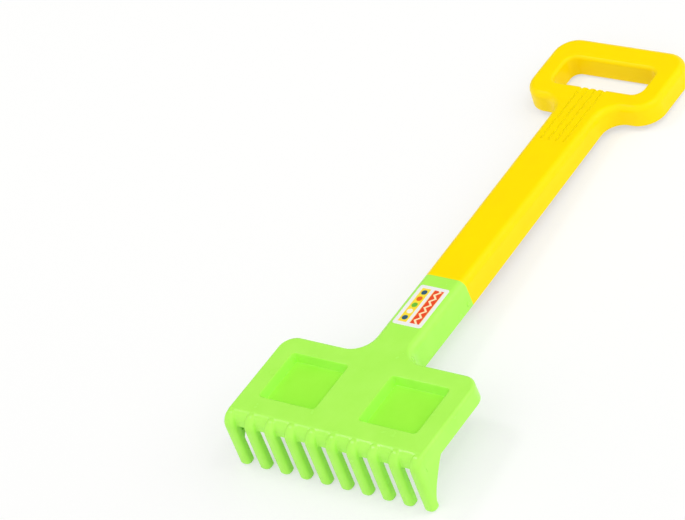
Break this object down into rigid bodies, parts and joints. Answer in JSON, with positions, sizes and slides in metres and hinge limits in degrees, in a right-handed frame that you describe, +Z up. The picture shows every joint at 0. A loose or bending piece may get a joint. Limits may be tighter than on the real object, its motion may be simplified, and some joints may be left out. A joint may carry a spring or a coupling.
{
  "type": "sand rake",
  "caption": "Child's sand rake: a wide moulded head of straight tines on a separate long handle that ends in a D-shaped grip with a hand slot.",
  "frame": {"origin": "on the ground, below the middle of the rake's own box in X and Y", "axes": "+Z up from the ground that the tine tips and the grip's far end rest on, +Y from the tines towards the grip, +X to the right seen from behind the grip"},
  "size_m": [0.1958, 0.5058, 0.0533],
  "materials": {
    "green_plastic": "moulded polypropylene, bright yellow-green, smooth satin gloss",
    "yellow_plastic": "moulded polypropylene, warm yellow, smooth satin gloss",
    "sticker_film": "white printed film sticker"
  },
  "bodies": {
    "root": {"rake_head": "green_plastic", "handle": "yellow_plastic", "label": "sticker_film"}
  },
  "joints": []
}
